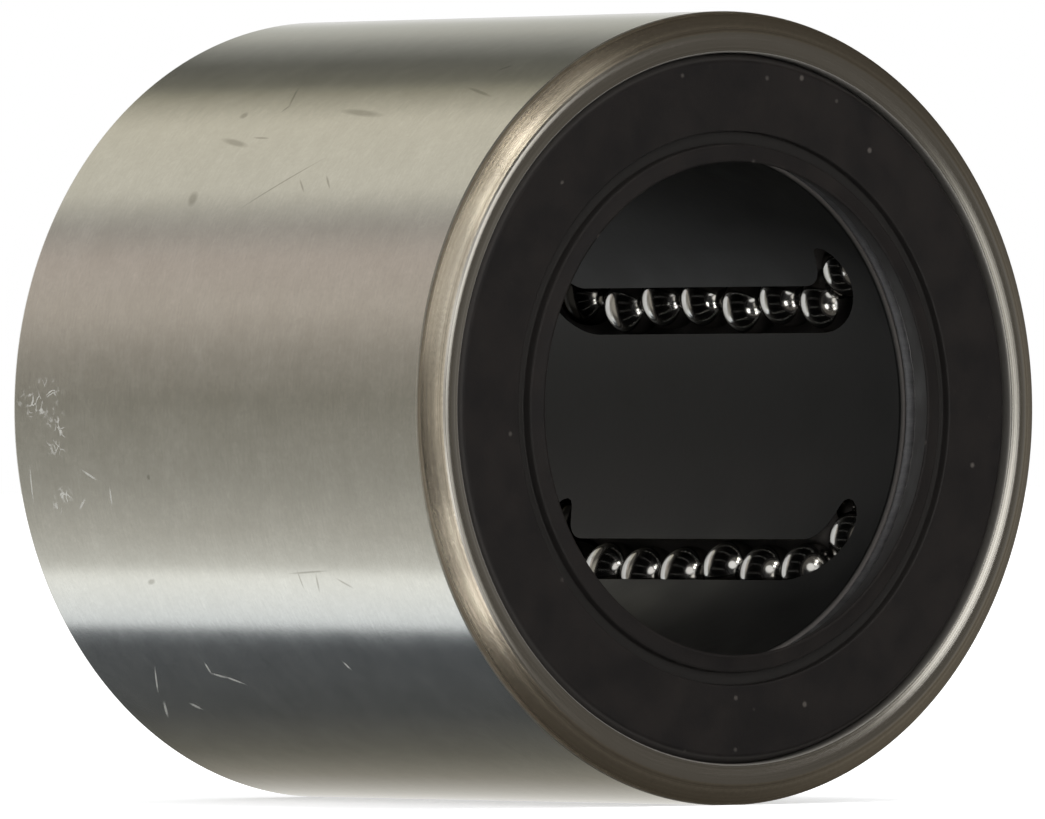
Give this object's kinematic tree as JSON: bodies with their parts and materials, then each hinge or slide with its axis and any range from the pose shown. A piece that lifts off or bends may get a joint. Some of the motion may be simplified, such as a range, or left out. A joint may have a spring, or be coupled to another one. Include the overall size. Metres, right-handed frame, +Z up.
{
  "type": "linear bearing",
  "caption": "Round linear ball bearing: a ground steel cylinder holding a moulded retainer with recirculating ball circuits, side rings and rubber lip seals.",
  "frame": {"origin": "middle of the bearing: on its axis, halfway between the two end faces", "axes": "+Y along the bearing's axis towards the back end, so the front end face is at -Y; +Z up; +X to the right seen from the front"},
  "size_m": [0.04, 0.0348, 0.04],
  "materials": {
    "ground_steel": "ground and lightly oiled",
    "side_ring_steel": "turned",
    "retainer_plastic": "moulded, soft gloss",
    "seal_rubber": "moulded, matte",
    "ball_steel": "polished bearing steel"
  },
  "bodies": {
    "shell": {"outer_cylinder": "ground_steel", "ball_retainer": "retainer_plastic", "side_ring_front": "side_ring_steel", "side_ring_back": "side_ring_steel", "end_seal_front": "seal_rubber", "end_seal_back": "seal_rubber"},
    "circuit_1_load_row": {"circuit_1_load_ball_1": "ball_steel", "circuit_1_load_ball_2": "ball_steel", "circuit_1_load_ball_3": "ball_steel", "circuit_1_load_ball_4": "ball_steel", "circuit_1_load_ball_5": "ball_steel", "circuit_1_load_ball_6": "ball_steel"},
    "circuit_1_front_turn": {"circuit_1_front_turn_balls": "ball_steel"},
    "circuit_1_return_row": {"circuit_1_return_balls": "ball_steel"},
    "circuit_1_back_turn": {"circuit_1_back_turn_balls": "ball_steel"},
    "circuit_2_load_row": {"circuit_2_load_ball_1": "ball_steel", "circuit_2_load_ball_2": "ball_steel", "circuit_2_load_ball_3": "ball_steel", "circuit_2_load_ball_4": "ball_steel", "circuit_2_load_ball_5": "ball_steel", "circuit_2_load_ball_6": "ball_steel"},
    "circuit_2_front_turn": {"circuit_2_front_turn_balls": "ball_steel"},
    "circuit_2_return_row": {"circuit_2_return_balls": "ball_steel"},
    "circuit_2_back_turn": {"circuit_2_back_turn_balls": "ball_steel"},
    "circuit_3_load_row": {"circuit_3_load_ball_1": "ball_steel", "circuit_3_load_ball_2": "ball_steel", "circuit_3_load_ball_3": "ball_steel", "circuit_3_load_ball_4": "ball_steel", "circuit_3_load_ball_5": "ball_steel", "circuit_3_load_ball_6": "ball_steel"},
    "circuit_3_front_turn": {"circuit_3_front_turn_balls": "ball_steel"},
    "circuit_3_return_row": {"circuit_3_return_balls": "ball_steel"},
    "circuit_3_back_turn": {"circuit_3_back_turn_balls": "ball_steel"},
    "circuit_4_load_row": {"circuit_4_load_ball_1": "ball_steel", "circuit_4_load_ball_2": "ball_steel", "circuit_4_load_ball_3": "ball_steel", "circuit_4_load_ball_4": "ball_steel", "circuit_4_load_ball_5": "ball_steel", "circuit_4_load_ball_6": "ball_steel"},
    "circuit_4_front_turn": {"circuit_4_front_turn_balls": "ball_steel"},
    "circuit_4_return_row": {"circuit_4_return_balls": "ball_steel"},
    "circuit_4_back_turn": {"circuit_4_back_turn_balls": "ball_steel"},
    "circuit_5_load_row": {"circuit_5_load_ball_1": "ball_steel", "circuit_5_load_ball_2": "ball_steel", "circuit_5_load_ball_3": "ball_steel", "circuit_5_load_ball_4": "ball_steel", "circuit_5_load_ball_5": "ball_steel", "circuit_5_load_ball_6": "ball_steel"},
    "circuit_5_front_turn": {"circuit_5_front_turn_balls": "ball_steel"},
    "circuit_5_return_row": {"circuit_5_return_balls": "ball_steel"},
    "circuit_5_back_turn": {"circuit_5_back_turn_balls": "ball_steel"},
    "circuit_6_load_row": {"circuit_6_load_ball_1": "ball_steel", "circuit_6_load_ball_2": "ball_steel", "circuit_6_load_ball_3": "ball_steel", "circuit_6_load_ball_4": "ball_steel", "circuit_6_load_ball_5": "ball_steel", "circuit_6_load_ball_6": "ball_steel"},
    "circuit_6_front_turn": {"circuit_6_front_turn_balls": "ball_steel"},
    "circuit_6_return_row": {"circuit_6_return_balls": "ball_steel"},
    "circuit_6_back_turn": {"circuit_6_back_turn_balls": "ball_steel"}
  },
  "joints": [
    {"name": "circuit_1_load_slide", "type": "slide", "parent": "shell", "child": "circuit_1_load_row", "axis": [0, -1, 0], "range_m": [-0.0025, 0.0007]},
    {"name": "circuit_1_front_turn_hinge", "type": "hinge", "parent": "shell", "child": "circuit_1_front_turn", "pos_m": [0.01204, -0.00902, 0.00793], "axis": [-0.9337, 0, -0.3581], "range_deg": [-55.19, 15.53]},
    {"name": "circuit_1_back_turn_hinge", "type": "hinge", "parent": "shell", "child": "circuit_1_back_turn", "pos_m": [0.01204, 0.00902, 0.00793], "axis": [-0.9337, 0, -0.3581], "range_deg": [-55.19, 15.53]},
    {"name": "circuit_1_return_slide", "type": "slide", "parent": "shell", "child": "circuit_1_return_row", "axis": [0, -1, 0], "range_m": [-0.0007, 0.0025]},
    {"name": "circuit_2_load_slide", "type": "slide", "parent": "shell", "child": "circuit_2_load_row", "axis": [0, -1, 0], "range_m": [-0.0011, 0.0021]},
    {"name": "circuit_2_front_turn_hinge", "type": "hinge", "parent": "shell", "child": "circuit_2_front_turn", "pos_m": [-0.00085, -0.00902, 0.01439], "axis": [-0.1568, 0, -0.9876], "range_deg": [-24.34, 46.38]},
    {"name": "circuit_2_back_turn_hinge", "type": "hinge", "parent": "shell", "child": "circuit_2_back_turn", "pos_m": [-0.00085, 0.00902, 0.01439], "axis": [-0.1568, 0, -0.9876], "range_deg": [-24.34, 46.38]},
    {"name": "circuit_2_return_slide", "type": "slide", "parent": "shell", "child": "circuit_2_return_row", "axis": [0, -1, 0], "range_m": [-0.0021, 0.0011]},
    {"name": "circuit_3_load_slide", "type": "slide", "parent": "shell", "child": "circuit_3_load_row", "axis": [0, -1, 0], "range_m": [-0.0019, 0.0013]},
    {"name": "circuit_3_front_turn_hinge", "type": "hinge", "parent": "shell", "child": "circuit_3_front_turn", "pos_m": [-0.01289, -0.00902, 0.00646], "axis": [0.7769, 0, -0.6296], "range_deg": [-41.97, 28.75]},
    {"name": "circuit_3_back_turn_hinge", "type": "hinge", "parent": "shell", "child": "circuit_3_back_turn", "pos_m": [-0.01289, 0.00902, 0.00646], "axis": [0.7769, 0, -0.6296], "range_deg": [-41.97, 28.75]},
    {"name": "circuit_3_return_slide", "type": "slide", "parent": "shell", "child": "circuit_3_return_row", "axis": [0, -1, 0], "range_m": [-0.0013, 0.0019]},
    {"name": "circuit_4_load_slide", "type": "slide", "parent": "shell", "child": "circuit_4_load_row", "axis": [0, -1, 0], "range_m": [-0.0008, 0.0024]},
    {"name": "circuit_4_front_turn_hinge", "type": "hinge", "parent": "shell", "child": "circuit_4_front_turn", "pos_m": [-0.01204, -0.00902, -0.00793], "axis": [0.9337, 0, 0.3581], "range_deg": [-17.73, 52.99]},
    {"name": "circuit_4_back_turn_hinge", "type": "hinge", "parent": "shell", "child": "circuit_4_back_turn", "pos_m": [-0.01204, 0.00902, -0.00793], "axis": [0.9337, 0, 0.3581], "range_deg": [-17.73, 52.99]},
    {"name": "circuit_4_return_slide", "type": "slide", "parent": "shell", "child": "circuit_4_return_row", "axis": [0, -1, 0], "range_m": [-0.0024, 0.0008]},
    {"name": "circuit_5_load_slide", "type": "slide", "parent": "shell", "child": "circuit_5_load_row", "axis": [0, -1, 0], "range_m": [-0.0018, 0.0014]},
    {"name": "circuit_5_front_turn_hinge", "type": "hinge", "parent": "shell", "child": "circuit_5_front_turn", "pos_m": [0.00085, -0.00902, -0.01439], "axis": [0.1568, 0, 0.9876], "range_deg": [-39.77, 30.95]},
    {"name": "circuit_5_back_turn_hinge", "type": "hinge", "parent": "shell", "child": "circuit_5_back_turn", "pos_m": [0.00085, 0.00902, -0.01439], "axis": [0.1568, 0, 0.9876], "range_deg": [-39.77, 30.95]},
    {"name": "circuit_5_return_slide", "type": "slide", "parent": "shell", "child": "circuit_5_return_row", "axis": [0, -1, 0], "range_m": [-0.0014, 0.0018]},
    {"name": "circuit_6_load_slide", "type": "slide", "parent": "shell", "child": "circuit_6_load_row", "axis": [0, -1, 0], "range_m": [-0.0029, 0.0003]},
    {"name": "circuit_6_front_turn_hinge", "type": "hinge", "parent": "shell", "child": "circuit_6_front_turn", "pos_m": [0.01289, -0.00902, -0.00646], "axis": [-0.7769, 0, 0.6296], "range_deg": [-64.01, 6.71]},
    {"name": "circuit_6_back_turn_hinge", "type": "hinge", "parent": "shell", "child": "circuit_6_back_turn", "pos_m": [0.01289, 0.00902, -0.00646], "axis": [-0.7769, 0, 0.6296], "range_deg": [-64.01, 6.71]},
    {"name": "circuit_6_return_slide", "type": "slide", "parent": "shell", "child": "circuit_6_return_row", "axis": [0, -1, 0], "range_m": [-0.0003, 0.0029]}
  ],
  "couplings": [
    {"joint": "circuit_1_front_turn_hinge", "follows": "circuit_1_load_slide", "rad_per_m": 384.62},
    {"joint": "circuit_1_back_turn_hinge", "follows": "circuit_1_load_slide", "rad_per_m": 384.62},
    {"joint": "circuit_1_return_slide", "follows": "circuit_1_load_slide", "ratio": -1},
    {"joint": "circuit_2_front_turn_hinge", "follows": "circuit_2_load_slide", "rad_per_m": 384.62},
    {"joint": "circuit_2_back_turn_hinge", "follows": "circuit_2_load_slide", "rad_per_m": 384.62},
    {"joint": "circuit_2_return_slide", "follows": "circuit_2_load_slide", "ratio": -1},
    {"joint": "circuit_3_front_turn_hinge", "follows": "circuit_3_load_slide", "rad_per_m": 384.62},
    {"joint": "circuit_3_back_turn_hinge", "follows": "circuit_3_load_slide", "rad_per_m": 384.62},
    {"joint": "circuit_3_return_slide", "follows": "circuit_3_load_slide", "ratio": -1},
    {"joint": "circuit_4_front_turn_hinge", "follows": "circuit_4_load_slide", "rad_per_m": 384.62},
    {"joint": "circuit_4_back_turn_hinge", "follows": "circuit_4_load_slide", "rad_per_m": 384.62},
    {"joint": "circuit_4_return_slide", "follows": "circuit_4_load_slide", "ratio": -1},
    {"joint": "circuit_5_front_turn_hinge", "follows": "circuit_5_load_slide", "rad_per_m": 384.62},
    {"joint": "circuit_5_back_turn_hinge", "follows": "circuit_5_load_slide", "rad_per_m": 384.62},
    {"joint": "circuit_5_return_slide", "follows": "circuit_5_load_slide", "ratio": -1},
    {"joint": "circuit_6_front_turn_hinge", "follows": "circuit_6_load_slide", "rad_per_m": 384.62},
    {"joint": "circuit_6_back_turn_hinge", "follows": "circuit_6_load_slide", "rad_per_m": 384.62},
    {"joint": "circuit_6_return_slide", "follows": "circuit_6_load_slide", "ratio": -1}
  ]
}
